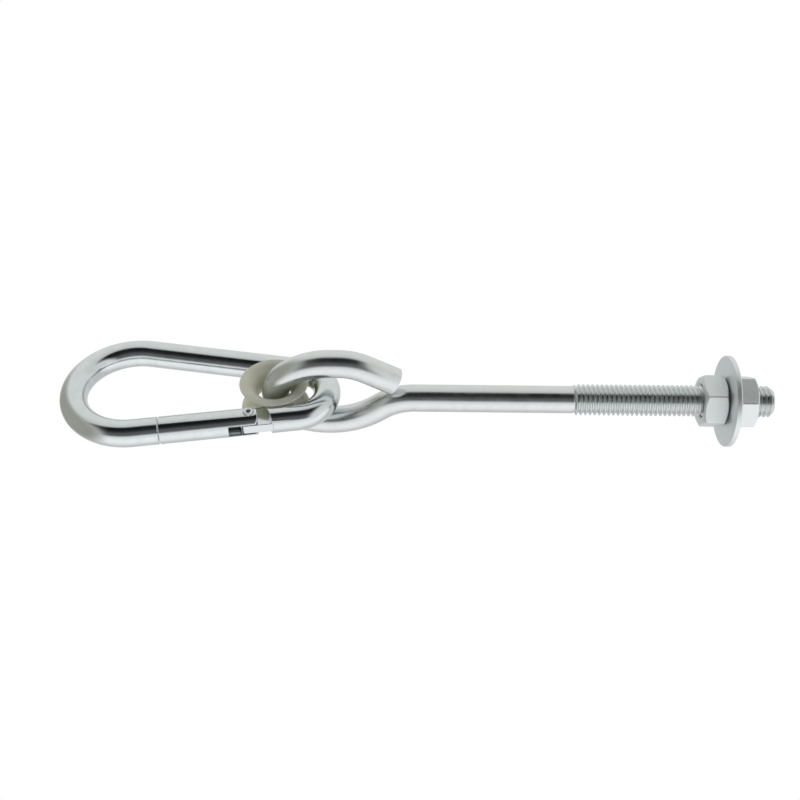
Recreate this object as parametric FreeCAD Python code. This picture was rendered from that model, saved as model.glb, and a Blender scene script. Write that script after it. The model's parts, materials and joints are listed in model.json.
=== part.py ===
import FreeCAD, Part
import math
import os

V = FreeCAD.Vector

# Through bolt: one rod, bent to an open eye at the foot and rolled with a thread at the head.
# Heights are measured from the washer's beam-side face, on the bolt's axis.
BOLT_LENGTH = 190.0
ROD_D = 10.2
THREAD_D, THREAD_LENGTH, THREAD_RUNOUT = 11.6, 74.4, 1.2
THREAD_PITCH, THREAD_DEPTH, THREAD_CREST = 1.75, 1.07, 0.22
TIP_HEIGHT = 17.6
TIP_CHAMFER = 1.3
ROD_END_CHAMFER = 0.5

# Eye, followed from the shank: out to the back limb, round the foot, up the front limb, in to the cut end.
KICK_R, KICK_ANGLE, KICK_RUN = 20.0, 37.2, 2.5
BACK_R, BACK_ANGLE = 30.0, 63.1
FOOT_R, FOOT_ANGLE = 11.4, 111.9
FRONT_R, FRONT_ANGLE, FRONT_RUN = 25.3, 42.2, 2.9
NIP_R, NIP_ANGLE, NIP_RUN = 20.9, 28.4, 12.7

# Fastening at the head of the bolt.
WASHER_D, WASHER_T, WASHER_EDGE = 34.0, 2.0, 0.25
NUT_AF, NUT_H = 18.0, 8.8
NUT_FACE_D, NUT_CHAMFER_ANGLE = 17.0, 30.0
NUT_MOUTH_CHAMFER = 0.9
INNER_NUT_TURN, OUTER_NUT_TURN = 38.0, 52.0
SEAT_GAP = 0.4
THREAD_CLEARANCE = 0.3

# Nylon bush that turns on the foot of the eye and carries the snap hook's wire in its groove.
BUSH_D, BUSH_LENGTH = 25.4, 11.8
BUSH_WALL = 1.3
BUSH_PLAY = 0.9
BUSH_SAG = 0.3
MOUTH_R = 6.15
LIP_LAND = 0.15
LIP_FILLET = 0.28
GROOVE_CLEARANCE = 0.3

# Snap hook: a pear-shaped loop of wire, its gate on the +Y side.
WIRE_D = 10.0
WIDE_R, NARROW_R, ARC_SPACING = 21.8, 12.5, 59.6
END_PLAY = 6.9

# Gate, measured from its pivot: along the gate toward the nose, and inward.
PIVOT_RUN = 17.0
GATE_REACH, GATE_HEEL = 32.1, 3.0
HEEL_ROUND = 2.8
SEAM_GAP = 0.5
SLOT_W, SLOT_DEPTH = 4.4, 7.6
TONGUE_CLEARANCE = 0.3
TONGUE_REACH, TONGUE_RELIEF, TONGUE_ROUND = 2.8, 0.7, 1.2
SHOULDER_INNER, SHOULDER_OUTER = 5.6, 8.3

# Latch: a T-headed tongue on the gate in a T-slot of the nose, open to the inside.
NECK_W, NECK_L = 3.2, 3.0
HEAD_W, HEAD_L = 6.2, 2.6
LATCH_FLOOR = 2.7
LATCH_CLEARANCE = 0.45

# Pivot rivet.
RIVET_D, RIVET_HOLE = 2.6, 1.6
RIVET_HEAD_D, RIVET_HEAD_H, RIVET_PROUD, RIVET_EDGE = 3.6, 0.6, 0.45, 0.3
RIVET_CLEARANCE = 0.3

# Closing spring and plunger in the gate's bore.
BORE_D, BORE_DEPTH = 4.4, 19.0
PLUNGER_D, PLUNGER_GUIDE, PLUNGER_GAP = 3.8, 4.0, 0.35
PLUNGER_NOSE = 0.9
SPRING_WIRE, SPRING_D, SPRING_TURNS = 0.6, 3.6, 9.0
SPRING_GAP = 0.1

# How far a cutting tool runs past the face it cuts, and the slack when edges are picked by place.
OVERCUT = 1.0
TOLERANCE = 0.01

WIRE_R = WIRE_D / 2
ROD_R = ROD_D / 2
SPREAD = math.asin((WIDE_R - NARROW_R) / ARC_SPACING)


def box(x0, x1, y0, y1, z0, z1):
    return Part.makeBox(x1 - x0, y1 - y0, z1 - z0, V(x0, y0, z0))


def cylinder(radius, start, end):
    axis = end - start
    return Part.makeCylinder(radius, axis.Length, start, axis)


def turned(points, base, axis):
    """Solid of revolution about a line, from a closed polyline."""
    face = Part.Face(Part.makePolygon(points + [points[0]]))
    return face.revolve(base, axis, 360)


class Trace:
    """A path of tangent lines and arcs in the XZ plane; turns are positive toward +X while heading down."""

    def __init__(self, x, z):
        self.point = V(x, 0, z)
        self.heading = 0.0
        self.edges = []
        self.centre = None

    def ahead(self):
        return V(math.sin(self.heading), 0, -math.cos(self.heading))

    def aside(self):
        return V(math.cos(self.heading), 0, math.sin(self.heading))

    def line(self, length):
        end = self.point + self.ahead() * length
        self.edges.append(Part.makeLine(self.point, end))
        self.point = end

    def arc(self, radius, degrees):
        side = math.copysign(1.0, degrees)
        start = self.point
        self.centre = start + self.aside() * (side * radius)
        middle = self.on_arc(radius, side, degrees / 2)
        end = self.on_arc(radius, side, degrees)
        self.edges.append(Part.Arc(start, middle, end).toShape())
        self.heading += math.radians(degrees)
        self.point = end

    def on_arc(self, radius, side, degrees):
        angle = self.heading + math.radians(degrees)
        outward = V(math.cos(angle), 0, math.sin(angle)) * (-side)
        return self.centre + outward * radius


def eye_trace(z_start):
    """Centreline from the foot of the plain shank to the cut end, and the centre of the foot bend."""
    path = Trace(0, z_start)
    path.arc(KICK_R, -KICK_ANGLE)
    path.line(KICK_RUN)
    path.arc(BACK_R, BACK_ANGLE)
    path.arc(FOOT_R, FOOT_ANGLE)
    foot = path.centre
    path.arc(FRONT_R, FRONT_ANGLE)
    path.line(FRONT_RUN)
    path.arc(NIP_R, NIP_ANGLE)
    path.line(NIP_RUN)
    return path, foot


def swept(edges, radius):
    wire = Part.Wire(edges)
    first = edges[0]
    tangent = first.tangentAt(first.FirstParameter)
    profile = Part.Wire(Part.makeCircle(radius, first.Vertexes[0].Point, tangent))
    return wire.makePipeShell([profile], True, False)


EYE_DROP = -eye_trace(0)[1].z + FOOT_R + ROD_R
EYE_TOP = TIP_HEIGHT - BOLT_LENGTH + EYE_DROP
EYE_PATH, FOOT_CENTRE = eye_trace(EYE_TOP)
BUSH_CENTRE = FOOT_CENTRE - V(0, 0, FOOT_R + BUSH_SAG)
NARROW_CENTRE = BUSH_CENTRE + V(0, 0, END_PLAY)
WIDE_CENTRE = NARROW_CENTRE - V(0, 0, ARC_SPACING)
OUTWARD = V(0, math.cos(SPREAD), math.sin(SPREAD))
ALONG = V(0, math.sin(SPREAD), -math.cos(SPREAD))
PIVOT = NARROW_CENTRE + OUTWARD * NARROW_R + ALONG * PIVOT_RUN


def eye_bolt():
    thread_foot = TIP_HEIGHT - THREAD_LENGTH
    shank = Part.makeLine(V(0, 0, thread_foot), V(0, 0, EYE_TOP))
    rod = swept([shank] + EYE_PATH.edges, ROD_R)
    cut_end = [edge for edge in rod.Edges if is_ring_at(edge, EYE_PATH.point)]
    rod = rod.makeChamfer(ROD_END_CHAMFER, cut_end)
    return rod.fuse(threaded_stud(thread_foot)).removeSplitter()


def threaded_stud(foot):
    """The thread as ring grooves of its pitch and depth, counted down from the tip's chamfer."""
    crest_r = THREAD_D / 2
    root_r = crest_r - THREAD_DEPTH
    top = TIP_HEIGHT - TIP_CHAMFER
    outline = [
        V(0, 0, foot - THREAD_RUNOUT),
        V(0, 0, TIP_HEIGHT),
        V(crest_r - TIP_CHAMFER, 0, TIP_HEIGHT),
        V(crest_r, 0, top),
    ]
    for turn in range(int((top - foot) / THREAD_PITCH)):
        next_crest = top - THREAD_PITCH * (turn + 1)
        outline += [
            V(crest_r, 0, next_crest + THREAD_PITCH - THREAD_CREST),
            V(root_r, 0, next_crest + (THREAD_PITCH - THREAD_CREST) / 2),
            V(crest_r, 0, next_crest),
        ]
    outline += [
        V(crest_r, 0, foot),
        V(ROD_R, 0, foot - THREAD_RUNOUT),
    ]
    return turned(outline, V(0, 0, 0), V(0, 0, 1))


def is_ring_at(edge, point):
    if not isinstance(edge.Curve, Part.Circle):
        return False
    return (edge.Curve.Center - point).Length < TOLERANCE


def hexagon(corner_r, height):
    points = []
    for step in range(6):
        angle = math.radians(60 * step)
        points.append(V(corner_r * math.cos(angle), corner_r * math.sin(angle), 0))
    return Part.Face(Part.makePolygon(points + [points[0]])).extrude(V(0, 0, height))


def nut():
    """Hexagon nut standing on z = 0, its corners turned off at both faces."""
    face_r = NUT_FACE_D / 2
    corner_r = NUT_AF / math.sqrt(3)
    drop = (corner_r - face_r) * math.tan(math.radians(NUT_CHAMFER_ANGLE))
    outline = [
        V(0, 0, 0),
        V(face_r, 0, 0),
        V(corner_r, 0, drop),
        V(corner_r, 0, NUT_H - drop),
        V(face_r, 0, NUT_H),
        V(0, 0, NUT_H),
    ]
    body = hexagon(corner_r, NUT_H).common(turned(outline, V(0, 0, 0), V(0, 0, 1)))
    bore_r = THREAD_D / 2 + THREAD_CLEARANCE
    mouth_r = bore_r + NUT_MOUTH_CHAMFER
    bore = [
        V(0, 0, 0),
        V(mouth_r, 0, 0),
        V(bore_r, 0, NUT_MOUTH_CHAMFER),
        V(bore_r, 0, NUT_H - NUT_MOUTH_CHAMFER),
        V(mouth_r, 0, NUT_H),
        V(0, 0, NUT_H),
    ]
    return body.cut(turned(bore, V(0, 0, 0), V(0, 0, 1)))


def nut_at(height, turn):
    solid = nut()
    solid.rotate(V(0, 0, 0), V(0, 0, 1), turn)
    solid.translate(V(0, 0, height))
    return solid


def washer():
    disc = Part.makeCylinder(WASHER_D / 2, WASHER_T)
    hole = Part.makeCylinder(THREAD_D / 2 + THREAD_CLEARANCE, WASHER_T)
    ring = disc.cut(hole)
    rims = [edge for edge in ring.Edges if is_circle_of(edge, WASHER_D / 2)]
    return ring.makeFillet(WASHER_EDGE, rims)


def is_circle_of(edge, radius):
    return isinstance(edge.Curve, Part.Circle) and abs(edge.Curve.Radius - radius) < TOLERANCE


def nylon_bush():
    """Spool with a half-round groove outside and a trumpet mouth at each end, turned about the X axis."""
    half = BUSH_LENGTH / 2
    rim = BUSH_D / 2
    throat = ROD_R + BUSH_PLAY
    waist = throat + BUSH_WALL
    groove_r = WIRE_R + GROOVE_CLEARANCE
    mouth = throat + MOUTH_R - math.sqrt(MOUTH_R ** 2 - half ** 2)
    lip = min(rim - LIP_LAND, waist + groove_r)
    lip_x = math.sqrt(groove_r ** 2 - (waist + groove_r - lip) ** 2)
    trumpet = Part.Arc(V(half, 0, mouth), V(0, 0, throat), V(-half, 0, mouth)).toShape()
    groove = Part.Arc(V(-lip_x, 0, lip), V(0, 0, waist), V(lip_x, 0, lip)).toShape()
    left = Part.makePolygon([V(-half, 0, mouth), V(-half, 0, rim), V(-lip_x, 0, rim), V(-lip_x, 0, lip)])
    right = Part.makePolygon([V(lip_x, 0, lip), V(lip_x, 0, rim), V(half, 0, rim), V(half, 0, mouth)])
    section = Part.Face(Part.Wire([trumpet] + left.Edges + [groove] + right.Edges))
    solid = section.revolve(V(0, 0, 0), V(1, 0, 0), 360)
    rims = [edge for edge in solid.Edges if is_circle_of(edge, rim) or is_circle_of(edge, mouth)]
    solid = solid.makeFillet(LIP_FILLET, rims)
    solid.translate(BUSH_CENTRE)
    return solid


def to_gate(shape):
    """From the gate's own axes (toward the nose, inward, across) to the part's frame."""
    inward = OUTWARD * -1
    across = ALONG.cross(inward)
    matrix = FreeCAD.Matrix(
        ALONG.x, inward.x, across.x, PIVOT.x,
        ALONG.y, inward.y, across.y, PIVOT.y,
        ALONG.z, inward.z, across.z, PIVOT.z,
        0, 0, 0, 1)
    placed = shape.copy()
    placed.Placement = FreeCAD.Placement(matrix).multiply(placed.Placement)
    return placed


def hook_path():
    """Centreline from the nose, round the wide end, up the spine and round the narrow end to the tongue."""
    nose = PIVOT + ALONG * (GATE_REACH + SEAM_GAP)
    spine_out = V(0, -OUTWARD.y, OUTWARD.z)
    wide_start = WIDE_CENTRE + OUTWARD * WIDE_R
    wide_end = WIDE_CENTRE + spine_out * WIDE_R
    narrow_start = NARROW_CENTRE + spine_out * NARROW_R
    narrow_end = NARROW_CENTRE + OUTWARD * NARROW_R
    tongue_tip = PIVOT + ALONG * TONGUE_REACH
    return [
        Part.makeLine(nose, wide_start),
        Part.Arc(wide_start, WIDE_CENTRE - V(0, 0, WIDE_R), wide_end).toShape(),
        Part.makeLine(wide_end, narrow_start),
        Part.Arc(narrow_start, NARROW_CENTRE + V(0, 0, NARROW_R), narrow_end).toShape(),
        Part.makeLine(narrow_end, tongue_tip),
    ]


def cheek_clearance():
    """Pockets beside the hinge tongue, with sloping shoulders, and the relief along its outer edge."""
    tongue_w = SLOT_W - 2 * TONGUE_CLEARANCE
    far = TONGUE_REACH + OVERCUT
    profile = [
        V(-SHOULDER_OUTER, -WIRE_D, 0),
        V(-SHOULDER_OUTER, -WIRE_R, 0),
        V(-SHOULDER_INNER, WIRE_R, 0),
        V(-SHOULDER_INNER, WIRE_D, 0),
        V(far, WIRE_D, 0),
        V(far, -WIRE_D, 0),
    ]
    side = Part.Face(Part.makePolygon(profile + [profile[0]])).extrude(V(0, 0, WIRE_D))
    upper = side.copy()
    upper.translate(V(0, 0, tongue_w / 2))
    lower = side.copy()
    lower.translate(V(0, 0, -tongue_w / 2 - WIRE_D))
    relief = box(-SHOULDER_OUTER, far, -WIRE_D, -WIRE_R + TONGUE_RELIEF, -WIRE_R, WIRE_R)
    return upper.fuse(lower).fuse(relief)


def tongue_end():
    """What is taken off to round the end of the hinge tongue."""
    block = box(0, TONGUE_REACH + OVERCUT, -WIRE_R, WIRE_R, -WIRE_R, WIRE_R)
    keep = box(-OVERCUT, TONGUE_REACH, -WIRE_R + TONGUE_RELIEF, WIRE_R - TONGUE_RELIEF, -WIRE_D, WIRE_D)
    corners = [edge for edge in keep.Edges if is_across(edge) and edge.CenterOfMass.x > 0]
    return block.cut(keep.makeFillet(TONGUE_ROUND, corners))


def is_across(edge):
    first, last = [vertex.Point for vertex in edge.Vertexes]
    return abs(first.x - last.x) + abs(first.y - last.y) < TOLERANCE


def latch_slot():
    """T-slot in the nose, open to the inside of the hook."""
    face = GATE_REACH + SEAM_GAP
    head = GATE_REACH + NECK_L
    half_neck = NECK_W / 2 + LATCH_CLEARANCE
    half_head = HEAD_W / 2 + LATCH_CLEARANCE
    floor = -LATCH_FLOOR - LATCH_CLEARANCE
    neck = box(face - OVERCUT, head, floor, WIRE_D, -half_neck, half_neck)
    near = head - LATCH_CLEARANCE
    far = head + HEAD_L + LATCH_CLEARANCE
    pocket = box(near, far, floor, WIRE_D, -half_head, half_head)
    return neck.fuse(pocket)


def rivet_bore(radius):
    return cylinder(radius, V(0, 0, -WIRE_D), V(0, 0, WIRE_D))


def carabiner_body():
    hook = swept(hook_path(), WIRE_R)
    for tool in (cheek_clearance(), tongue_end(), latch_slot(), rivet_bore(RIVET_D / 2 + RIVET_CLEARANCE)):
        hook = hook.cut(to_gate(tool))
    return hook


def heel_corner(side):
    """What is taken off to round one corner of the gate's heel."""
    y0, y1 = sorted((side * WIRE_R, side * (WIRE_R - HEEL_ROUND)))
    block = box(-GATE_HEEL, -GATE_HEEL + HEEL_ROUND, y0, y1, -WIRE_R, WIRE_R)
    centre = V(-GATE_HEEL + HEEL_ROUND, side * (WIRE_R - HEEL_ROUND), 0)
    return block.cut(cylinder(HEEL_ROUND, centre - V(0, 0, WIRE_D), centre + V(0, 0, WIRE_D)))


def gate():
    rod = cylinder(WIRE_R, V(-GATE_HEEL, 0, 0), V(GATE_REACH, 0, 0))
    slot = box(-GATE_HEEL - OVERCUT, SLOT_DEPTH, -WIRE_D, WIRE_D, -SLOT_W / 2, SLOT_W / 2)
    bore = cylinder(BORE_D / 2, V(0, 0, 0), V(SLOT_DEPTH + BORE_DEPTH, 0, 0))
    sink = cylinder(RIVET_HEAD_D / 2, V(0, 0, WIRE_R - RIVET_HEAD_H), V(0, 0, WIRE_D))
    other_sink = sink.mirror(V(0, 0, 0), V(0, 0, 1))
    for tool in (slot, bore, rivet_bore(RIVET_D / 2), sink, other_sink, heel_corner(1), heel_corner(-1)):
        rod = rod.cut(tool)
    return to_gate(rod.fuse(latch_tongue()).removeSplitter())


def latch_tongue():
    """T-headed tongue on the gate's tip, within the gate's round outline."""
    head = GATE_REACH + NECK_L
    neck = box(GATE_REACH - OVERCUT, head, -LATCH_FLOOR, WIRE_R, -NECK_W / 2, NECK_W / 2)
    bar = box(head, head + HEAD_L, -LATCH_FLOOR, WIRE_R, -HEAD_W / 2, HEAD_W / 2)
    outline = cylinder(WIRE_R - LATCH_CLEARANCE, V(GATE_REACH - OVERCUT, 0, 0), V(head + HEAD_L, 0, 0))
    return neck.fuse(bar).common(outline)


def gate_pin():
    """Tubular rivet, rolled over at both ends."""
    end = WIRE_R + RIVET_PROUD
    under = WIRE_R - RIVET_HEAD_H
    outline = [
        V(RIVET_HOLE / 2, 0, -end + RIVET_EDGE),
        V(RIVET_HOLE / 2 + RIVET_EDGE, 0, -end),
        V(RIVET_HEAD_D / 2 - RIVET_EDGE, 0, -end),
        V(RIVET_HEAD_D / 2, 0, -end + RIVET_EDGE),
        V(RIVET_HEAD_D / 2, 0, -under),
        V(RIVET_D / 2, 0, -under),
    ]
    outline += [V(point.x, 0, -point.z) for point in reversed(outline)]
    return to_gate(turned(outline, V(0, 0, 0), V(0, 0, 1)))


def gate_plunger():
    """Plunger with a rounded head, bearing on the end of the hinge tongue."""
    tip = TONGUE_REACH + PLUNGER_GAP
    tail = SLOT_DEPTH + PLUNGER_GUIDE
    body = cylinder(PLUNGER_D / 2, V(tip, 0, 0), V(tail, 0, 0))
    rims = [edge for edge in body.Edges if is_ring_at(edge, V(tip, 0, 0))]
    return to_gate(body.makeFillet(PLUNGER_NOSE, rims))


def gate_spring():
    start = SLOT_DEPTH + PLUNGER_GUIDE + SPRING_GAP + SPRING_WIRE / 2
    end = SLOT_DEPTH + BORE_DEPTH - SPRING_GAP - SPRING_WIRE / 2
    radius = (SPRING_D - SPRING_WIRE) / 2
    length = end - start
    helix = Part.makeHelix(length / SPRING_TURNS, length, radius)
    profile = Part.Wire(Part.makeCircle(SPRING_WIRE / 2, V(radius, 0, 0), V(0, 1, 0)))
    coil = Part.Wire(helix).makePipeShell([profile], True, True)
    coil.rotate(V(0, 0, 0), V(0, 1, 0), 90)
    coil.translate(V(start, 0, 0))
    return to_gate(coil)


PARTS = {
    "eye_bolt": eye_bolt(),
    "inner_nut": nut_at(-SEAT_GAP - NUT_H, INNER_NUT_TURN),
    "washer": washer(),
    "outer_nut": nut_at(WASHER_T, OUTER_NUT_TURN),
    "nylon_bush": nylon_bush(),
    "carabiner_body": carabiner_body(),
    "gate": gate(),
    "gate_pin": gate_pin(),
    "gate_plunger": gate_plunger(),
    "gate_spring": gate_spring(),
}

os.makedirs("parts", exist_ok=True)
for name, shape in PARTS.items():
    shape.exportStep("parts/%s.step" % name)
    print(name, shape.isValid(), len(shape.Solids), round(shape.Volume, 1))
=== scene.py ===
"""Hammock hook: an eye bolt with nuts and washer, and a snap hook that hangs in its eye on a nylon bush."""
import json
import math
import bmesh
import bpy
from mathutils import Matrix, Vector


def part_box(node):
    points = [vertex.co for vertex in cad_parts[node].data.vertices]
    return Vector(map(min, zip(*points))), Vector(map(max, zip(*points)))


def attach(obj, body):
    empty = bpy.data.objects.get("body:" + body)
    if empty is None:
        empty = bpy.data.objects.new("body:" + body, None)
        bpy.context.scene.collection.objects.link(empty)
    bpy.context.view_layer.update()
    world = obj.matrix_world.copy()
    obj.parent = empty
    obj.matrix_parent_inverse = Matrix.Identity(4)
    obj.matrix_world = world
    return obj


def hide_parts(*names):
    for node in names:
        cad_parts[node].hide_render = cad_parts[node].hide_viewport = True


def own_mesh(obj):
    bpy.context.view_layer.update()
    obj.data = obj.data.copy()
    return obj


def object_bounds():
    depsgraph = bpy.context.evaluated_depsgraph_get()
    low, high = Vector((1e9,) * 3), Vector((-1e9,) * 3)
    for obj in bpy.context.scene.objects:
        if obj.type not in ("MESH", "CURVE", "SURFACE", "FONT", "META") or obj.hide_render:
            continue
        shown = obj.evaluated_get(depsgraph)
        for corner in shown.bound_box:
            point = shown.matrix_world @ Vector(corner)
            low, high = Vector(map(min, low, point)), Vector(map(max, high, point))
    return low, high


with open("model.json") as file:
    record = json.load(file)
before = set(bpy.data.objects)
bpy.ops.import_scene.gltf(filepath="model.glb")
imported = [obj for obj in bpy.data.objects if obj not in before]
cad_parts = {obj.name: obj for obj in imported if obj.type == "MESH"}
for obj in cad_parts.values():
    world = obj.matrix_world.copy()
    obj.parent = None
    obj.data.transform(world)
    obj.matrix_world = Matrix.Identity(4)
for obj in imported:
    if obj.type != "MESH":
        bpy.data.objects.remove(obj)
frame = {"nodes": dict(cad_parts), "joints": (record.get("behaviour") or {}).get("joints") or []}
cad_low, cad_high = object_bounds()
scene = bpy.context.scene
joints = {joint["name"]: joint for joint in frame["joints"]}

MM = 0.001
X, Y, Z = Vector((1, 0, 0)), Vector((0, 1, 0)), Vector((0, 0, 1))

# Eye bolt, in millimetres as the part's own sizes are.
ROD_D, ROD_END_CHAMFER = 10.2, 0.5
THREAD_D, THREAD_PITCH, THREAD_DEPTH, THREAD_CORNER = 11.6, 1.75, 1.07, 0.09
THREAD_LENGTH, THREAD_RUNOUT, THREAD_SUNK = 74.4, 1.2, 0.1
TIP_CHAMFER = 1.3
SHANK_RUN = 58.75

# Bends of the eye, followed from the shank: radius, degrees, and the straight run after each.
KICK = (20.0, -37.2, 2.5)
BACK = (30.0, 63.1, 0)
FOOT = (11.4, 111.9, 0)
FRONT = (25.3, 42.2, 2.9)
NIP = (20.9, 28.4, 12.7)

# Fasteners.
WASHER_D, WASHER_T, WASHER_HOLE_D, WASHER_EDGE = 34.0, 2.0, 12.2, 0.45
NUT_AF, NUT_H, NUT_FACE_D, NUT_CHAMFER_ANGLE = 18.0, 8.8, 17.0, 30.0
NUT_BORE_D, NUT_MOUTH_CHAMFER, NUT_EDGE = 12.2, 0.9, 0.3
INNER_NUT_TURN, OUTER_NUT_TURN = 38.0, 52.0

# Bush, turned about the X axis.
BUSH_D, BUSH_LENGTH, BUSH_WALL, BUSH_LIP = 25.4, 11.8, 1.3, 0.28
BUSH_THROAT_R, BUSH_MOUTH_R, BUSH_GROOVE_R = 6.0, 6.15, 5.3

# Snap hook: its wire, then the gate, measured from its pivot toward the nose.
WIRE_D = 10.0
WIDE_R, NARROW_R, ARC_SPACING = 21.8, 12.5, 59.6
PIVOT_RUN, GATE_REACH, GATE_HEEL, HEEL_ROUND = 17.0, 32.1, 3.0, 2.8
SEAM_GAP, SLOT_W, SLOT_DEPTH = 0.5, 4.4, 7.6
TONGUE_W, TONGUE_REACH, TONGUE_RELIEF, TONGUE_ROUND = 3.8, 2.8, 0.7, 1.2
SHOULDER_INNER, SHOULDER_OUTER = 5.6, 8.3
NECK_W, NECK_L, HEAD_W, HEAD_L = 3.2, 3.0, 6.2, 2.6
LATCH_FLOOR, LATCH_CLEARANCE = 2.7, 0.45
RIVET_D, RIVET_HOLE, RIVET_HEAD_D, RIVET_HEAD_H, RIVET_PROUD = 2.6, 1.6, 3.6, 0.6, 0.45
RIVET_ROLL, RIVET_CLEARANCE = 0.4, 0.3
BORE_D, BORE_DEPTH, PLUNGER_GUIDE = 4.4, 19.0, 4.0
SPRING_WIRE, SPRING_D, SPRING_TURNS, SPRING_GAP = 0.6, 3.6, 9, 0.1
CUT_EDGE, SEAM_EDGE, EDGE_FACETS = 0.3, 0.08, 3

# How far a cutting tool runs past a face. Points nearer than a hair are merged, and before a bevel those
# nearer than a sliver.
OVERCUT = 1.0
HAIR, SLIVER = 0.002, 0.08

# How finely round things are divided.
WIRE_SIDES, HOLE_SIDES, TURNED_SIDES, SPRING_SIDES = 72, 48, 120, 10
THREAD_STEPS, SPRING_STEPS = 72, 24
BEND_STEP, EDGE_STEP = 3.0, 15.0
SHARP_ANGLE = math.radians(35)


def hex_colour(text):
    """sRGB hex to the linear colour that a shader takes."""
    channels = []
    for start in (1, 3, 5):
        value = int(text[start:start + 2], 16) / 255
        channels.append(value / 12.92 if value <= 0.04045 else ((value + 0.055) / 1.055) ** 2.4)
    return (*channels, 1.0)


def add(tree, kind, inputs, **settings):
    """A node with its settings; each socket, by name or place, takes a value or another node's output."""
    node = tree.nodes.new(kind)
    for name, value in settings.items():
        setattr(node, name, value)
    for name, value in inputs.items():
        if isinstance(value, bpy.types.NodeSocket):
            tree.links.new(value, node.inputs[name])
        else:
            node.inputs[name].default_value = value
    return node


def noise(tree, spot, size, detail):
    """Noise with a grain of so many millimetres."""
    inputs = {"Vector": spot, "Scale": 1 / (size * MM), "Detail": detail}
    return add(tree, "ShaderNodeTexNoise", inputs).outputs[0]


def blend(tree, share, first, second):
    """Two colours, mixed; 6, 7 and 2 are where the Mix node keeps its colours."""
    return add(tree, "ShaderNodeMix", {0: share, 6: first, 7: second}, data_type="RGBA").outputs[2]


def new_material(name):
    material = bpy.data.materials.new(name)
    material.use_nodes = True
    material.node_tree.nodes.clear()
    return material, material.node_tree


def zinc_plating(name, place, height, height_depth, colours, gloss):
    """Bright zinc: a mirror between two colours and two roughnesses, clouded over a few millimetres."""
    cloud = 3.0
    material, tree = new_material(name)
    spot = place(tree)
    clouds = noise(tree, spot, cloud, 4.0)
    dark, light = [hex_colour(colour) for colour in colours]
    tone = blend(tree, clouds, dark, light)
    rough = add(tree, "ShaderNodeMapRange", {"Value": clouds, "From Min": 0.3, "From Max": 0.7,
                                             "To Min": gloss[0], "To Max": gloss[1]}).outputs[0]
    bump = add(tree, "ShaderNodeBump", {"Height": height(tree, spot), "Strength": 0.15,
                                        "Distance": height_depth * MM}).outputs[0]
    shader = add(tree, "ShaderNodeBsdfPrincipled", {"Base Color": tone, "Metallic": 1.0, "Roughness": rough,
                                                    "Normal": bump})
    add(tree, "ShaderNodeOutputMaterial", {"Surface": shader.outputs[0]})
    return material


def along_wire(tree):
    return add(tree, "ShaderNodeAttribute", {}, attribute_name="drawn").outputs["Vector"]


def on_piece(tree):
    return add(tree, "ShaderNodeTexCoord", {}).outputs["Object"]


def die_lines(tree, spot):
    width, length = 0.35, 14.0
    stretch = (1 / (width * MM), 1 / (width * MM), 1 / (length * MM))
    stretched = add(tree, "ShaderNodeMapping", {"Vector": spot, "Scale": stretch}).outputs[0]
    return add(tree, "ShaderNodeTexNoise", {"Vector": stretched, "Scale": 1.0, "Detail": 3.0}).outputs[0]


def fine_pits(tree, spot):
    pit = 0.4
    return noise(tree, spot, pit, 3.0)


def rod_zinc():
    """Bright zinc plating on the bolt's drawn rod: pale grey metal whose reflections are soft at their edges,
    with faint lines along it from the die."""
    return zinc_plating("bright_zinc_on_drawn_rod", along_wire, die_lines, 0.02,
                        colours=("#ced1d1", "#e1e4e4"), gloss=(0.19, 0.27))


def wire_zinc():
    """Bright zinc plating on the hook's finer wire: a bluer, clearer mirror than the bolt's."""
    return zinc_plating("bright_zinc_on_drawn_wire", along_wire, die_lines, 0.02,
                        colours=("#cdd1d3", "#e0e4e5"), gloss=(0.12, 0.18))


def turned_zinc():
    """Bright zinc plating on turned steel: the gate's clear mirror, which keeps its black line sharp."""
    return zinc_plating("bright_zinc_on_turned_steel", on_piece, fine_pits, 0.01,
                        colours=("#cdd1d3", "#e0e4e5"), gloss=(0.1, 0.16))


def pressed_zinc():
    """Bright zinc plating on pressed steel: the same white metal, satin, so that its flats look even."""
    return zinc_plating("bright_zinc_on_pressed_steel", on_piece, fine_pits, 0.015,
                        colours=("#dbdfe1", "#edf0f1"), gloss=(0.42, 0.5))


def plain_spring_steel():
    """Bare drawn spring steel, oiled: darker and greyer than the plating, with a broad dull gloss."""
    cloud = 0.8
    material, tree = new_material("plain_spring_steel")
    clouds = noise(tree, on_piece(tree), cloud, 3.0)
    tone = blend(tree, clouds, hex_colour("#9aa29e"), hex_colour("#b4bab6"))
    shader = add(tree, "ShaderNodeBsdfPrincipled", {"Base Color": tone, "Metallic": 1.0, "Roughness": 0.32})
    add(tree, "ShaderNodeOutputMaterial", {"Surface": shader.outputs[0]})
    return material


def natural_nylon():
    """Natural nylon, moulded: milky and waxy, light soaks in and softens its shadows."""
    cloud, grain, grain_depth, soak = 4.0, 0.25, 0.02, 3.0
    material, tree = new_material("natural_moulded_nylon")
    place = on_piece(tree)
    tone = blend(tree, noise(tree, place, cloud, 3.0), hex_colour("#cac9ba"), hex_colour("#dfdfd2"))
    fine = noise(tree, place, grain, 2.0)
    bump = add(tree, "ShaderNodeBump", {"Height": fine, "Strength": 0.1, "Distance": grain_depth * MM})
    shader = add(tree, "ShaderNodeBsdfPrincipled", {
        "Base Color": tone, "Roughness": 0.38, "IOR": 1.53, "Normal": bump.outputs[0],
        "Subsurface Weight": 1.0, "Subsurface Scale": soak * MM, "Subsurface Radius": (1.0, 0.97, 0.88)})
    add(tree, "ShaderNodeOutputMaterial", {"Surface": shader.outputs[0]})
    return material


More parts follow.
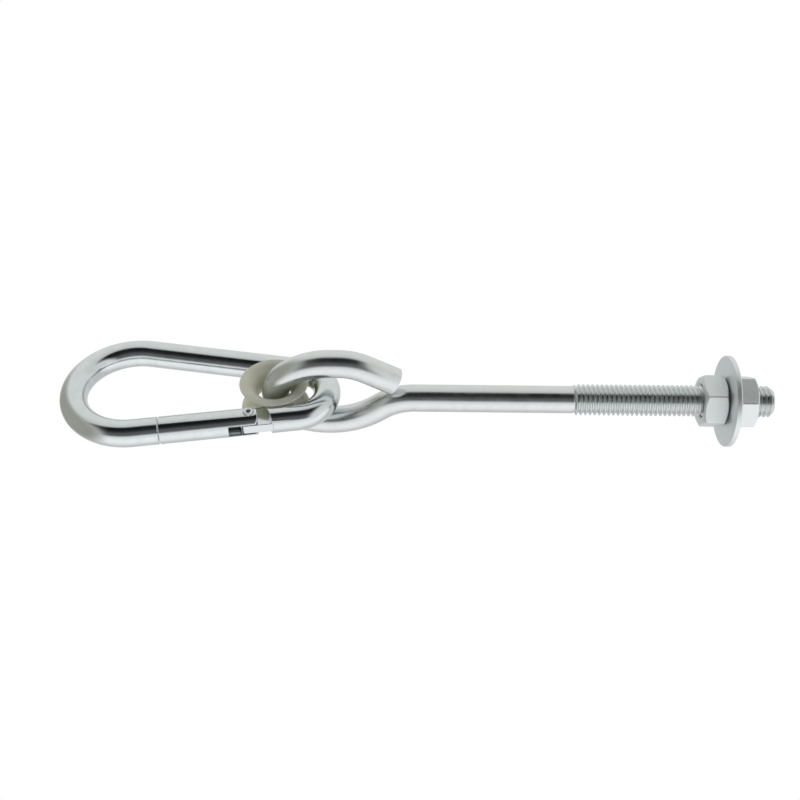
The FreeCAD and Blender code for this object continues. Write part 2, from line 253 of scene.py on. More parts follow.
class Drawn:
    """A ring or a point pulled along straight runs and round bends; square is normal to the plane of the
    bends. On a ring, the layer keeps where each point lay on the straight wire before it was bent."""

    def __init__(self, bm, geom, place, heading, square):
        self.bm = bm
        self.geom = geom
        self.place = Vector(place)
        self.heading = Vector(heading).normalized()
        self.square = square
        self.length = 0.0

    def pull(self, centre, axis, angle, shift, travel):
        made = bmesh.ops.spin(self.bm, geom=self.geom, cent=centre, axis=axis, dvec=shift, angle=angle,
                              steps=1, use_duplicate=False)
        self.geom = made["geom_last"]
        self.length += travel
        layer = self.bm.verts.layers.float_vector.get("drawn")
        if layer:
            for vert in points_of(self.geom):
                vert[layer] = (vert[layer].x, vert[layer].y, self.length)

    def run(self, length):
        shift = self.heading * length
        self.pull(self.place, self.square, 0.0, shift, length)
        self.place = self.place + shift

    def bend(self, radius, degrees, step=BEND_STEP):
        side = self.heading.cross(self.square) * math.copysign(1.0, degrees)
        centre = self.place + side * radius
        axis = self.heading.cross(side)
        count = max(1, round(abs(degrees) / step))
        angle = math.radians(abs(degrees)) / count
        turn = Matrix.Rotation(angle, 3, axis)
        for _ in range(count):
            self.pull(centre, axis, angle, Vector(), radius * angle)
            self.heading = turn @ self.heading
            self.place = centre + turn @ (self.place - centre)

    def slant(self, x, z):
        """Turns the point to a new direction in the XZ plane, for a sharp corner."""
        self.heading = Vector((x, 0, z)).normalized()


def points_of(geom):
    return [item for item in geom if isinstance(item, bmesh.types.BMVert)]


def edges_of(geom):
    return [item for item in geom if isinstance(item, bmesh.types.BMEdge)]


def draw_from(bm, place, square=Y, heading=X):
    """Starts an outline at a point."""
    return Drawn(bm, [bm.verts.new(place)], place, heading, square)


def draw_wire(bm, diameter, place, heading, square):
    """Starts a round wire at a place."""
    layer = bm.verts.layers.float_vector.new("drawn")
    ring = bmesh.ops.create_circle(bm, segments=WIRE_SIDES, radius=diameter / 2 * MM)["verts"]
    for vert in ring:
        vert[layer] = vert.co
    turn = heading.to_track_quat("Z", "Y").to_matrix().to_4x4()
    bmesh.ops.transform(bm, matrix=Matrix.Translation(place) @ turn, verts=ring)
    return Drawn(bm, list(bm.verts) + list(bm.edges), place, heading, square)


def close_ends(bm):
    bmesh.ops.holes_fill(bm, edges=[edge for edge in bm.edges if edge.is_boundary], sides=0)
    bmesh.ops.recalc_face_normals(bm, faces=bm.faces)


def turn_outline(bm, centre, axis):
    """Spins the outline drawn so far right round an axis."""
    bmesh.ops.spin(bm, geom=list(bm.verts) + list(bm.edges), cent=centre, axis=axis, angle=2 * math.pi,
                   steps=TURNED_SIDES, use_merge=True, use_duplicate=False)
    bmesh.ops.remove_doubles(bm, verts=bm.verts, dist=HAIR * MM)
    bmesh.ops.recalc_face_normals(bm, faces=bm.faces)


def prism(points, low, high):
    """A flat outline in the gate's frame, made solid from low to high across it, in millimetres."""
    bm = bmesh.new()
    face = bm.faces.new([bm.verts.new(Vector((x, y, low)) * MM) for x, y in points])
    made = bmesh.ops.extrude_face_region(bm, geom=[face])
    bmesh.ops.translate(bm, vec=Z * (high - low) * MM, verts=points_of(made["geom"]))
    bmesh.ops.recalc_face_normals(bm, faces=bm.faces)
    return bm


def round_bar(radius, low, high, sides):
    """A round bar across the gate's frame, through its pivot, in millimetres."""
    bm = bmesh.new()
    bmesh.ops.create_cone(bm, cap_ends=True, segments=sides, radius1=radius * MM, radius2=radius * MM,
                          depth=(high - low) * MM)
    bmesh.ops.translate(bm, vec=Z * (low + high) / 2 * MM, verts=bm.verts)
    return bm


def laid_along(bm):
    """Turns a bar that stands across the gate to lie along it."""
    bmesh.ops.rotate(bm, matrix=Matrix.Rotation(math.pi / 2, 3, "Y"), verts=bm.verts)
    return bm


def combine(bm, tool, operation):
    """Cuts, joins or meets one closed mesh with another; the tool is used up."""
    working = []
    for source in (bm, tool):
        mesh = bpy.data.meshes.new("working")
        source.to_mesh(mesh)
        working.append(bpy.data.objects.new("working", mesh))
        scene.collection.objects.link(working[-1])
    tool.free()
    modifier = working[0].modifiers.new("combine", "BOOLEAN")
    modifier.operation = operation
    modifier.solver = "EXACT"
    modifier.object = working[1]
    result = working[0].evaluated_get(bpy.context.evaluated_depsgraph_get()).to_mesh()
    bm.clear()
    bm.from_mesh(result)
    for obj in working:
        mesh = obj.data
        bpy.data.objects.remove(obj)
        bpy.data.meshes.remove(mesh)
    in_order(bm)
    bmesh.ops.remove_doubles(bm, verts=bm.verts, dist=HAIR * MM)


def in_order(bm):
    """Rebuilds a mesh with its points and faces in order of place, which cutting leaves to chance, so that
    every run gives the same mesh."""
    layer = bm.verts.layers.float_vector.get("drawn")
    verts = sorted(bm.verts, key=lambda vert: tuple(vert.co))
    number = {vert: index for index, vert in enumerate(verts)}
    points = [(vert.co.copy(), vert[layer].copy() if layer else None) for vert in verts]
    rings = []
    for face in bm.faces:
        ring = [number[vert] for vert in face.verts]
        first = ring.index(min(ring))
        rings.append(ring[first:] + ring[:first])
    bm.clear()
    layer = bm.verts.layers.float_vector.new("drawn") if layer else None
    verts = []
    for place, drawn in points:
        verts.append(bm.verts.new(place))
        if layer:
            verts[-1][layer] = drawn
    for ring in sorted(rings):
        bm.faces.new([verts[index] for index in ring])
    bm.normal_update()


def soften(bm, width, seam=None):
    """Breaks the outward sharp edges that cutting leaves, once slivers that would spoil the bevel are merged.
    Those in the plane of the gate's seam are broken least, so that it stays a fine line."""
    bmesh.ops.remove_doubles(bm, verts=bm.verts, dist=SLIVER * MM)
    if seam is not None:
        break_edges(bm, [edge for edge in sharp_edges(bm) if lies_at(edge, seam)], SEAM_EDGE)
    break_edges(bm, [edge for edge in sharp_edges(bm) if seam is None or not lies_at(edge, seam)], width)
    in_order(bm)


def sharp_edges(bm):
    return [edge for edge in bm.edges if edge.is_convex and edge.calc_face_angle() > SHARP_ANGLE]


def lies_at(edge, seam):
    return all(abs(vert.co.x / MM - seam) < 2 * SEAM_EDGE for vert in edge.verts)


def break_edges(bm, edges, width):
    bmesh.ops.bevel(bm, geom=edges, offset=width * MM, affect="EDGES", segments=EDGE_FACETS, profile=0.5,
                    material=-1, clamp_overlap=False)


def place_piece(bm, name, material, body, node):
    """Makes the mesh an object that stands for its node and rides on its body."""
    for face in bm.faces:
        face.smooth = True
    for edge in bm.edges:
        edge.smooth = edge.is_manifold and edge.calc_face_angle() < SHARP_ANGLE
    mesh = bpy.data.meshes.new(name)
    bm.to_mesh(mesh)
    bm.free()
    mesh.materials.append(material)
    piece = bpy.data.objects.new(name, mesh)
    scene.collection.objects.link(piece)
    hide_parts(node)
    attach(piece, body)
    return piece


def keep_flats(piece):
    """Lets the large faces set the normals, so that flats look flat between their rounded edges."""
    weighted = piece.modifiers.new("keep_flats", "WEIGHTED_NORMAL")
    weighted.keep_sharp = True


def thread_outline(bm, start_z):
    """One pitch of the rolled thread, from root to root, its root and crest rounded."""
    flank_angle = 60.0
    slope = math.radians(flank_angle)
    corner, depth = THREAD_CORNER * MM, THREAD_DEPTH * MM
    trim = corner * math.tan(slope / 2)
    flank = depth / math.sin(slope) - 2 * trim
    flat = THREAD_PITCH * MM / 2 - depth / math.tan(slope)
    pen = draw_from(bm, X * (THREAD_D / 2 * MM - depth) + Z * start_z, heading=Z)
    pen.run(flat / 2 - trim)
    pen.bend(corner, -flank_angle, EDGE_STEP)
    pen.run(flank)
    pen.bend(corner, flank_angle, EDGE_STEP)
    pen.run(flat - 2 * trim)
    pen.bend(corner, flank_angle, EDGE_STEP)
    pen.run(flank)
    pen.bend(corner, -flank_angle, EDGE_STEP)
    pen.run(flat / 2 - trim)


def rolled_thread(foot_z, tip_z):
    """The thread: a screw that rises out of the rod at its foot, left open there, with a chamfered tip."""
    bm = bmesh.new()
    pitch = THREAD_PITCH * MM
    spare = 2 * pitch
    thread_outline(bm, foot_z - spare)
    bmesh.ops.spin(bm, geom=list(bm.verts) + list(bm.edges), cent=(0, 0, 0), axis=Z, angle=2 * math.pi,
                   dvec=Z * pitch / THREAD_STEPS, steps=THREAD_STEPS, use_duplicate=False)
    turns = 1
    while turns * pitch < tip_z - foot_z + spare + pitch:
        copy = bmesh.ops.duplicate(bm, geom=list(bm.verts) + list(bm.edges) + list(bm.faces))
        bmesh.ops.translate(bm, vec=Z * turns * pitch, verts=points_of(copy["geom"]))
        turns *= 2
    bmesh.ops.remove_doubles(bm, verts=bm.verts, dist=HAIR * MM)
    for height, outside in ((foot_z, -Z), (tip_z, Z)):
        bmesh.ops.bisect_plane(bm, geom=list(bm.verts) + list(bm.edges) + list(bm.faces), plane_co=Z * height,
                               plane_no=outside, clear_outer=True, dist=HAIR * MM)
    chamfer_z = tip_z - TIP_CHAMFER * MM
    sunk_r = (ROD_D / 2 - THREAD_SUNK) * MM
    for vert in bm.verts:
        radius = vert.co.xy.length
        rise = min(1.0, (vert.co.z - foot_z) / (THREAD_RUNOUT * MM))
        wanted = min(sunk_r + (radius - sunk_r) * rise, THREAD_D / 2 * MM - max(0.0, vert.co.z - chamfer_z))
        vert.co.xy = vert.co.xy * (wanted / radius)
    tip = [edge for edge in bm.edges if edge.is_boundary and edge.verts[0].co.z > chamfer_z]
    bmesh.ops.holes_fill(bm, edges=tip, sides=0)
    return bm


def eye_bolt():
    tip_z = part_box("eye_bolt")[1].z
    foot_z = tip_z - THREAD_LENGTH * MM
    bm = bmesh.new()
    rod = draw_wire(bm, ROD_D, Z * foot_z, -Z, Y)
    rod.run(SHANK_RUN * MM)
    for radius, degrees, straight in (KICK, BACK, FOOT, FRONT, NIP):
        rod.bend(radius * MM, degrees)
        if straight:
            rod.run(straight * MM)
    cut_end = edges_of(rod.geom)
    bmesh.ops.holes_fill(bm, edges=cut_end, sides=0)
    bmesh.ops.bevel(bm, geom=cut_end, offset=ROD_END_CHAMFER * MM, affect="EDGES", segments=2, profile=0.5,
                    material=-1)
    thread = rolled_thread(foot_z, tip_z)
    layer = thread.verts.layers.float_vector.new("drawn")
    for vert in thread.verts:
        vert[layer] = (vert.co.x, vert.co.y, foot_z - vert.co.z)
    mesh = bpy.data.meshes.new("working")
    thread.to_mesh(mesh)
    thread.free()
    bm.from_mesh(mesh)
    bpy.data.meshes.remove(mesh)
    foot = [edge for edge in bm.edges if edge.is_boundary]
    bmesh.ops.triangle_fill(bm, edges=foot, use_beauty=False, normal=Z)
    bmesh.ops.recalc_face_normals(bm, faces=bm.faces)
    return bm


def hex_nut(node, turn):
    low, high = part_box(node)
    corner_r = NUT_AF / math.sqrt(3)
    bm = round_bar(corner_r, -NUT_H / 2, NUT_H / 2, 6)
    bmesh.ops.rotate(bm, matrix=Matrix.Rotation(math.radians(turn + 90), 3, "Z"), verts=bm.verts)
    combine(bm, nut_turning(corner_r), "INTERSECT")
    combine(bm, nut_bore(), "DIFFERENCE")
    soften(bm, NUT_EDGE)
    bmesh.ops.translate(bm, vec=Z * (low.z + high.z) / 2, verts=bm.verts)
    return bm


def nut_turning(corner_r):
    """The turned form that takes the nut's corners off at both faces."""
    angle = math.radians(NUT_CHAMFER_ANGLE)
    face_r, slope = NUT_FACE_D / 2, corner_r + OVERCUT - NUT_FACE_D / 2
    bm = bmesh.new()
    pen = draw_from(bm, Z * (-NUT_H / 2 * MM))
    pen.run(face_r * MM)
    pen.slant(math.cos(angle), math.sin(angle))
    pen.run(slope / math.cos(angle) * MM)
    pen.slant(0, 1)
    pen.run((NUT_H - 2 * slope * math.tan(angle)) * MM)
    pen.slant(-math.cos(angle), math.sin(angle))
    pen.run(slope / math.cos(angle) * MM)
    pen.slant(-1, 0)
    pen.run(face_r * MM)
    turn_outline(bm, (0, 0, 0), Z)
    return bm


def nut_bore():
    """The nut's bore with its chamfered mouths, run past both faces."""
    bore_r, past = NUT_BORE_D / 2, NUT_MOUTH_CHAMFER + OVERCUT
    bm = bmesh.new()
    pen = draw_from(bm, Z * (-NUT_H / 2 - OVERCUT) * MM)
    pen.run((bore_r + past) * MM)
    pen.slant(-1, 1)
    pen.run(past * math.sqrt(2) * MM)
    pen.slant(0, 1)
    pen.run((NUT_H - 2 * NUT_MOUTH_CHAMFER) * MM)
    pen.slant(1, 1)
    pen.run(past * math.sqrt(2) * MM)
    pen.slant(-1, 0)
    pen.run((bore_r + past) * MM)
    turn_outline(bm, (0, 0, 0), Z)
    return bm


def plain_washer():
    """Punched washer: its rim is rounded by the die, its hole less so."""
    hole_r, rim_r, edge, small = WASHER_HOLE_D / 2, WASHER_D / 2, WASHER_EDGE, WASHER_EDGE / 2
    bm = bmesh.new()
    pen = draw_from(bm, X * (hole_r + small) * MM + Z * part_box("washer")[0].z, square=-Y)
    for flat, corner, upright in ((rim_r - hole_r - small - edge, edge, WASHER_T - 2 * edge),
                                  (rim_r - hole_r - small - edge, small, WASHER_T - 2 * small)):
        pen.run(flat * MM)
        pen.bend(corner * MM, -90, EDGE_STEP)
        pen.run(upright * MM)
        pen.bend(corner * MM, -90, EDGE_STEP)
    turn_outline(bm, (0, 0, 0), Z)
    return bm


def milky_bush():
    """Spool with a half-round groove between rounded lips and a trumpet mouth at each end."""
    centre = Vector(joints["hook_swing"]["pos_m"])
    half, rim = BUSH_LENGTH / 2, BUSH_D / 2
    mouth = math.asin(half / BUSH_MOUTH_R)
    mouth_r = BUSH_THROAT_R + BUSH_MOUTH_R * (1 - math.cos(mouth))
    groove_axis = BUSH_THROAT_R + BUSH_WALL + BUSH_GROOVE_R
    groove = math.acos((groove_axis - rim + BUSH_LIP) / BUSH_GROOVE_R)
    land = half - 2 * BUSH_LIP - BUSH_GROOVE_R * math.sin(groove)
    bm = bmesh.new()
    pen = draw_from(bm, centre + Z * BUSH_THROAT_R * MM)
    pen.bend(BUSH_MOUTH_R * MM, math.degrees(mouth))
    pen.slant(0, 1)
    pen.run((rim - BUSH_LIP - mouth_r) * MM)
    for _ in range(2):
        pen.bend(BUSH_LIP * MM, 90, EDGE_STEP)
        pen.run(land * MM)
        pen.bend(BUSH_LIP * MM, 90, EDGE_STEP)
        if pen.place.x > centre.x:
            pen.slant(-math.cos(groove), -math.sin(groove))
            pen.bend(BUSH_GROOVE_R * MM, -2 * math.degrees(groove))
            pen.slant(0, 1)
    pen.run((rim - BUSH_LIP - mouth_r) * MM)
    pen.slant(math.cos(mouth), -math.sin(mouth))
    pen.bend(BUSH_MOUTH_R * MM, math.degrees(mouth))
    turn_outline(bm, centre, X)
    return bm


def gate_frame():
    """From the gate's own axes (toward the nose, inward, across) to the part's frame."""
    along = Vector(joints["plunger_travel"]["axis"]).normalized()
    sideways = Vector(joints["gate_hinge"]["axis"]).normalized()
    inward = sideways.cross(along)
    turn = Matrix((along, inward, sideways)).transposed().to_4x4()
    return Matrix.Translation(Vector(joints["gate_hinge"]["pos_m"])) @ turn


GATE = gate_frame()


def hook_wire():
    slope = math.degrees(math.asin((WIDE_R - NARROW_R) / ARC_SPACING))
    tangent = math.sqrt(ARC_SPACING ** 2 - (WIDE_R - NARROW_R) ** 2)
    nose = GATE_REACH + SEAM_GAP
    bm = bmesh.new()
    wire = draw_wire(bm, WIRE_D, GATE @ (X * nose * MM), GATE.to_3x3() @ X, X)
    wire.run((tangent - PIVOT_RUN - nose) * MM)
    wire.bend(WIDE_R * MM, 180 + 2 * slope)
    wire.run(tangent * MM)
    wire.bend(NARROW_R * MM, 180 - 2 * slope)
    wire.run((PIVOT_RUN + TONGUE_REACH) * MM)
    close_ends(bm)
    bmesh.ops.transform(bm, matrix=GATE.inverted(), verts=bm.verts)
    for side in (-1, 1):
        combine(bm, beside_tongue(side), "DIFFERENCE")
    combine(bm, off_tongue(), "DIFFERENCE")
    combine(bm, round_bar(RIVET_D / 2 + RIVET_CLEARANCE, -WIRE_D, WIRE_D, HOLE_SIDES), "DIFFERENCE")
    combine(bm, tee(GATE_REACH - OVERCUT, LATCH_CLEARANCE, WIRE_D), "DIFFERENCE")
    soften(bm, CUT_EDGE, nose)
    bmesh.ops.transform(bm, matrix=GATE, verts=bm.verts)
    return bm


def beside_tongue(side):
    """The pocket on one side of the hinge tongue, with its sloping shoulder."""
    far, radius = TONGUE_REACH + OVERCUT, WIRE_D / 2
    outline = [
        (-SHOULDER_OUTER, -WIRE_D),
        (far, -WIRE_D),
        (far, WIRE_D),
        (-SHOULDER_INNER, WIRE_D),
        (-SHOULDER_INNER, radius),
        (-SHOULDER_OUTER, -radius),
    ]
    low, high = sorted((side * TONGUE_W / 2, side * WIRE_D))
    return prism(outline, low, high)


def off_tongue():
    """What is taken off the tongue: its outer edge, and round its end."""
    far, edge = TONGUE_REACH + OVERCUT, WIRE_D / 2 - TONGUE_RELIEF
    start = TONGUE_REACH - TONGUE_ROUND
    bm = bmesh.new()
    pen = draw_from(bm, Vector((-SHOULDER_OUTER, -WIRE_D, -WIRE_D)) * MM, square=Z)
    pen.run((SHOULDER_OUTER + far) * MM)
    pen.heading = Y
    pen.run(2 * WIRE_D * MM)
    pen.heading = -X
    pen.run((far - start) * MM)
    pen.heading = -Y
    pen.run((WIRE_D - edge) * MM)
    pen.heading = X
    pen.bend(TONGUE_ROUND * MM, 90, EDGE_STEP)
    pen.run(2 * (edge - TONGUE_ROUND) * MM)
    pen.bend(TONGUE_ROUND * MM, 90, EDGE_STEP)
    pen.run((start + SHOULDER_OUTER) * MM)
    pen.heading = -Y
    pen.run((WIRE_D - edge) * MM)
    return filled(bm)


def filled(bm):
    """Closes an outline in the gate's frame and makes it solid across the wire."""
    bmesh.ops.remove_doubles(bm, verts=bm.verts, dist=HAIR * MM)
    face = bmesh.ops.contextual_create(bm, geom=list(bm.edges))["faces"]
    made = bmesh.ops.extrude_face_region(bm, geom=face)
    bmesh.ops.translate(bm, vec=Z * 2 * WIRE_D * MM, verts=points_of(made["geom"]))
    bmesh.ops.recalc_face_normals(bm, faces=bm.faces)
    return bm


def tee(start, clearance, top):
    """The T of the latch, neck and head, with clearance all round it."""
    shoulder, end = GATE_REACH + NECK_L - clearance, GATE_REACH + NECK_L + HEAD_L + clearance
    neck, head = NECK_W / 2 + clearance, HEAD_W / 2 + clearance
    half = [(start, neck), (shoulder, neck), (shoulder, head), (end, head)]
    outline = half + [(x, -y) for x, y in reversed(half)]
    bm = prism(outline, -LATCH_FLOOR - clearance, top)
    bmesh.ops.rotate(bm, matrix=Matrix.Rotation(-math.pi / 2, 3, "X"), verts=bm.verts)
    return bm


def snap_gate():
    radius = WIRE_D / 2
    bm = laid_along(round_bar(radius, -GATE_HEEL, GATE_REACH, WIRE_SIDES))
    combine(bm, heel_form(), "INTERSECT")
    behind = -GATE_HEEL - OVERCUT
    slot = [(behind, -WIRE_D), (SLOT_DEPTH, -WIRE_D), (SLOT_DEPTH, WIRE_D), (behind, WIRE_D)]
    combine(bm, prism(slot, -SLOT_W / 2, SLOT_W / 2), "DIFFERENCE")
    combine(bm, round_bar(RIVET_D / 2, -WIRE_D, WIRE_D, HOLE_SIDES), "DIFFERENCE")
    for low, high in ((radius - RIVET_HEAD_H, WIRE_D), (-WIRE_D, RIVET_HEAD_H - radius)):
        combine(bm, round_bar(RIVET_HEAD_D / 2, low, high, HOLE_SIDES), "DIFFERENCE")
    latch = tee(GATE_REACH - OVERCUT, 0, radius)
    envelope = round_bar(radius - LATCH_CLEARANCE, 0, GATE_REACH + WIRE_D, WIRE_SIDES)
    combine(latch, laid_along(envelope), "INTERSECT")
    combine(bm, latch, "UNION")
    soften(bm, CUT_EDGE, GATE_REACH)
    bore = round_bar(BORE_D / 2 - HAIR, SLOT_DEPTH - OVERCUT, SLOT_DEPTH + BORE_DEPTH, HOLE_SIDES)
    combine(bm, laid_along(bore), "DIFFERENCE")
    bmesh.ops.transform(bm, matrix=GATE, verts=bm.verts)
    return bm


def heel_form():
    """The side view of the gate, rounded at the corners of its heel."""
    edge = WIRE_D / 2 + HAIR
    bm = bmesh.new()
    pen = draw_from(bm, Vector((GATE_REACH + OVERCUT, -edge, -WIRE_D)) * MM, square=Z, heading=-X)
    pen.run((GATE_REACH + OVERCUT + GATE_HEEL - HEEL_ROUND) * MM)
    pen.bend(HEEL_ROUND * MM, 90)
    pen.run(2 * (edge - HEEL_ROUND) * MM)
    pen.bend(HEEL_ROUND * MM, 90)
    pen.run((GATE_REACH + OVERCUT + GATE_HEEL - HEEL_ROUND) * MM)
    return filled(bm)


def hollow_rivet():
    """Tubular rivet, its ends rolled over into heads."""
    end, under = WIRE_D / 2 + RIVET_PROUD, WIRE_D / 2 - RIVET_HEAD_H
    roll, hole_r, head_r = RIVET_ROLL, RIVET_HOLE / 2, RIVET_HEAD_D / 2
    bm = bmesh.new()
    pen = draw_from(bm, X * hole_r * MM + Z * (roll - end) * MM, heading=Z)
    pen.run(2 * (end - roll) * MM)
    pen.bend(roll * MM, -90, EDGE_STEP)
    pen.run((head_r - hole_r - 2 * roll) * MM)
    pen.bend(roll * MM, -90, EDGE_STEP)
    pen.run((end - roll - under) * MM)
    pen.slant(-1, 0)
    pen.run((head_r - RIVET_D / 2) * MM)
    pen.slant(0, -1)
    pen.run(2 * under * MM)
    pen.slant(1, 0)
    pen.run((head_r - RIVET_D / 2) * MM)
    pen.slant(0, -1)
    pen.run((end - roll - under) * MM)
    pen.bend(roll * MM, -90, EDGE_STEP)
    pen.run((head_r - hole_r - 2 * roll) * MM)
    pen.bend(roll * MM, -90, EDGE_STEP)
    turn_outline(bm, (0, 0, 0), Z)
    bmesh.ops.transform(bm, matrix=GATE, verts=bm.verts)
    return bm


SPRING_START = SLOT_DEPTH + PLUNGER_GUIDE + SPRING_GAP
SPRING_END = SLOT_DEPTH + BORE_DEPTH - SPRING_GAP


def coil_spring():
    """Round wire wound along the gate's bore."""
    wire_r, coil_r = SPRING_WIRE / 2, (SPRING_D - SPRING_WIRE) / 2
    length = SPRING_END - SPRING_START - SPRING_WIRE
    bm = bmesh.new()
    bmesh.ops.create_circle(bm, segments=SPRING_SIDES, radius=wire_r * MM)
    bmesh.ops.translate(bm, vec=Vector((SPRING_START + wire_r, coil_r, 0)) * MM, verts=bm.verts)
    steps = SPRING_STEPS * SPRING_TURNS
    bmesh.ops.spin(bm, geom=list(bm.verts) + list(bm.edges), cent=(0, 0, 0), axis=X,
                   dvec=X * length / steps * MM, angle=2 * math.pi * SPRING_TURNS, steps=steps,
                   use_duplicate=False)
    close_ends(bm)
    bmesh.ops.transform(bm, matrix=GATE, verts=bm.verts)
    return bm


on_rod, on_wire, on_turned, on_pressed = rod_zinc(), wire_zinc(), turned_zinc(), pressed_zinc()
bare_steel, nylon = plain_spring_steel(), natural_nylon()
lower_nut = hex_nut("inner_nut", INNER_NUT_TURN)
top_nut = hex_nut("outer_nut", OUTER_NUT_TURN)
place_piece(eye_bolt(), "threaded_eye_bolt", on_rod, "bolt", "eye_bolt")
keep_flats(place_piece(lower_nut, "lower_hex_nut", on_pressed, "lower_nut", "inner_nut"))
keep_flats(place_piece(top_nut, "top_hex_nut", on_pressed, "top_nut", "outer_nut"))
place_piece(plain_washer(), "plain_washer", on_pressed, "top_nut", "washer")
place_piece(milky_bush(), "spool_bush", nylon, "bush", "nylon_bush")
keep_flats(place_piece(hook_wire(), "snap_hook_wire", on_wire, "hook", "carabiner_body"))
keep_flats(place_piece(snap_gate(), "snap_gate", on_turned, "gate", "gate"))
place_piece(hollow_rivet(), "hollow_rivet", on_pressed, "gate", "gate_pin")
spring = place_piece(coil_spring(), "coil_spring", bare_steel, "gate", "gate_spring")
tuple(joints["plunger_travel"]["axis"])
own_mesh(spring)
plunger = frame["nodes"]["gate_plunger"]
plunger.data.materials.clear()
plunger.data.materials.append(bare_steel)

# Camera: square to the bolt and turned so that the bolt lies across the picture, its tip to the right.
VIEW_ANGLE, VIEW_ROLL = 46.5, 0.6
CAMERA_DISTANCE, CAMERA_LENS, CAMERA_NEAR = 0.415, 50.0, 0.01
AIM_Z, AIM_DROP = -0.1210, 0.0008
angle = math.radians(VIEW_ANGLE)
toward = Vector((math.cos(angle), math.sin(angle), 0))
upward = Vector((math.sin(angle), -math.cos(angle), 0))
camera_data = bpy.data.cameras.new("camera")
camera_data.lens = CAMERA_LENS
camera_data.clip_start = CAMERA_NEAR
camera = bpy.data.objects.new("camera", camera_data)
scene.collection.objects.link(camera)
roll = math.radians(VIEW_ROLL)
right = Z * math.cos(roll) + upward * math.sin(roll)
top = upward * math.cos(roll) - Z * math.sin(roll)
turn = Matrix((right, top, toward)).transposed().to_4x4()
camera.matrix_world = Matrix.Translation(Z * AIM_Z + toward * CAMERA_DISTANCE - upward * AIM_DROP) @ turn
scene.camera = camera

# Room round the hook. Each fade is where a tone is gone and where it is whole: the grey below the hook by the
# direction's lean along the bolt, the dark end by its bearing in degrees or by that lean.
ROOM_LIGHT = 1.15
BELOW_FADE = (-0.45, -0.95)
DARK_TOP, DARK_FOOT = (60.0, 46.0), (-34.0, -15.0)
DARK_LEFT, DARK_RIGHT = (-0.72, -0.48), (0.72, 0.48)


def studio_world():
    """A white room seen from inside: pale walls, a bright soft wall on the lower side of the picture, and the
    dark end where the camera stands, which gives the steel its black lines. The camera itself sees white."""
    world = bpy.data.worlds.new("studio")
    world.use_nodes = True
    tree = world.node_tree
    tree.nodes.clear()
    direction = add(tree, "ShaderNodeTexCoord", {}).outputs["Generated"]
    ahead, above, along = [component(tree, direction, axis) for axis in (toward, upward, Z)]
    radians = add(tree, "ShaderNodeMath", {0: above, 1: ahead}, operation="ARCTAN2").outputs[0]
    bearing = add(tree, "ShaderNodeMath", {0: radians}, operation="DEGREES").outputs[0]
    circle = {"Value": bearing, "From Min": -180.0, "From Max": 180.0}
    share = add(tree, "ShaderNodeMapRange", circle).outputs[0]
    walls = add(tree, "ShaderNodeValToRGB", {"Fac": share})
    set_ramp(walls, (
        (-180, "#cdd0d0"), (-135, "#c9c9c9"), (-112, "#dddddd"), (-92, "#f8f9fa"), (-62, "#ffffff"),
        (-36, "#e9ecec"), (64, "#d4d6d2"), (86, "#dfe2df"), (128, "#e1e3e0"), (180, "#cdd0d0")))
    below = smooth_step(tree, along, *BELOW_FADE)
    room = blend(tree, below, walls.outputs[0], hex_colour("#82837b"))
    dark = add(tree, "ShaderNodeValToRGB", {"Fac": share})
    set_ramp(dark, ((-24, "#585b5e"), (0, "#5a5b5a"), (15, "#2c2d2e"), (30, "#14171a"), (50, "#14171a")))
    shade = smooth_step(tree, bearing, *DARK_TOP)
    for value, fade in ((bearing, DARK_FOOT), (along, DARK_LEFT), (along, DARK_RIGHT)):
        edge = smooth_step(tree, value, *fade)
        shade = add(tree, "ShaderNodeMath", {0: shade, 1: edge}, operation="MULTIPLY").outputs[0]
    seen_in_steel = blend(tree, shade, room, dark.outputs[0])
    lit = add(tree, "ShaderNodeBackground", {"Color": seen_in_steel, "Strength": ROOM_LIGHT})
    plain = add(tree, "ShaderNodeBackground", {"Color": hex_colour("#ffffff"), "Strength": 1.0})
    seen = add(tree, "ShaderNodeLightPath", {}).outputs["Is Camera Ray"]
    mixed = add(tree, "ShaderNodeMixShader", {0: seen, 1: lit.outputs[0], 2: plain.outputs[0]})
    add(tree, "ShaderNodeOutputWorld", {"Surface": mixed.outputs[0]})
    scene.world = world


def component(tree, direction, axis):
    """How far a direction leans along an axis."""
    inputs = {0: direction, 1: axis}
    return add(tree, "ShaderNodeVectorMath", inputs, operation="DOT_PRODUCT").outputs["Value"]


def smooth_step(tree, value, outside, inside):
    """0 on one side, 1 on the other, with a soft edge between."""
    return add(tree, "ShaderNodeMapRange", {"Value": value, "From Min": outside, "From Max": inside},
               interpolation_type="SMOOTHSTEP").outputs[0]


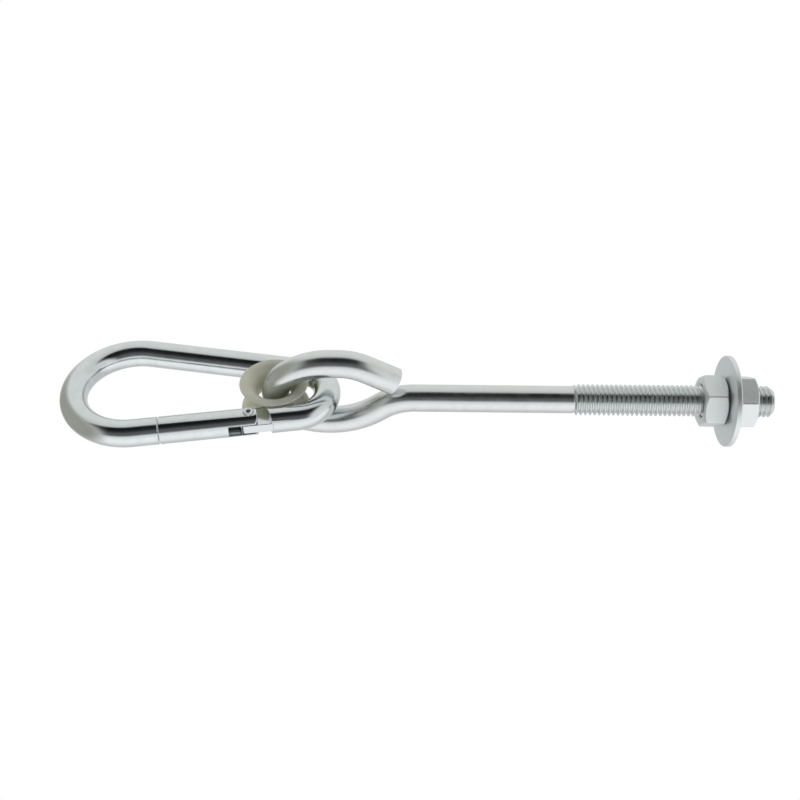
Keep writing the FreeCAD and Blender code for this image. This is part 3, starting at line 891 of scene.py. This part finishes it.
def set_ramp(node, stops):
    """Colour stops at bearings round the bolt, from -180 to 180 degrees; 0 is toward the camera."""
    elements = node.color_ramp.elements
    while len(elements) < len(stops):
        elements.new(0.5)
    for element, (degrees, colour) in zip(elements, stops):
        element.position = degrees / 360 + 0.5
        element.color = hex_colour(colour)


def pale_floor():
    """A plain pale floor below the hook; it looks white to the camera, keeps a soft shadow, and fades out
    toward its edge, so that the steel reflects no hard line from it."""
    drop, reach, whole, glow = 0.15, 0.3, 0.03, 0.45
    bm = bmesh.new()
    bmesh.ops.create_grid(bm, x_segments=1, y_segments=1, size=reach)
    bmesh.ops.translate(bm, vec=Z * (cad_low.z - drop), verts=bm.verts)
    mesh = bpy.data.meshes.new("floor")
    bm.to_mesh(mesh)
    bm.free()
    floor = bpy.data.objects.new("floor", mesh)
    scene.collection.objects.link(floor)
    material, tree = new_material("matt_white_board")
    board = add(tree, "ShaderNodeBsdfDiffuse", {"Color": hex_colour("#e6e6e4")})
    white = add(tree, "ShaderNodeEmission", {"Color": hex_colour("#ffffff"), "Strength": glow})
    both = add(tree, "ShaderNodeAddShader", {0: board.outputs[0], 1: white.outputs[0]})
    mirrored = add(tree, "ShaderNodeBsdfDiffuse", {"Color": hex_colour("#c2c1b7")})
    seen = add(tree, "ShaderNodeLightPath", {}).outputs["Is Camera Ray"]
    mixed = add(tree, "ShaderNodeMixShader", {0: seen, 1: mirrored.outputs[0], 2: both.outputs[0]})
    level = add(tree, "ShaderNodeVectorMath", {0: on_piece(tree), 1: X + Y}, operation="MULTIPLY").outputs[0]
    distance = add(tree, "ShaderNodeVectorMath", {0: level}, operation="LENGTH").outputs["Value"]
    there = smooth_step(tree, distance, reach, whole)
    clear = add(tree, "ShaderNodeBsdfTransparent", {})
    faded = add(tree, "ShaderNodeMixShader", {0: there, 1: clear.outputs[0], 2: mixed.outputs[0]})
    add(tree, "ShaderNodeOutputMaterial", {"Surface": faded.outputs[0]})
    mesh.materials.append(material)


pale_floor()
studio_world()
scene.view_settings.view_transform = "Standard"
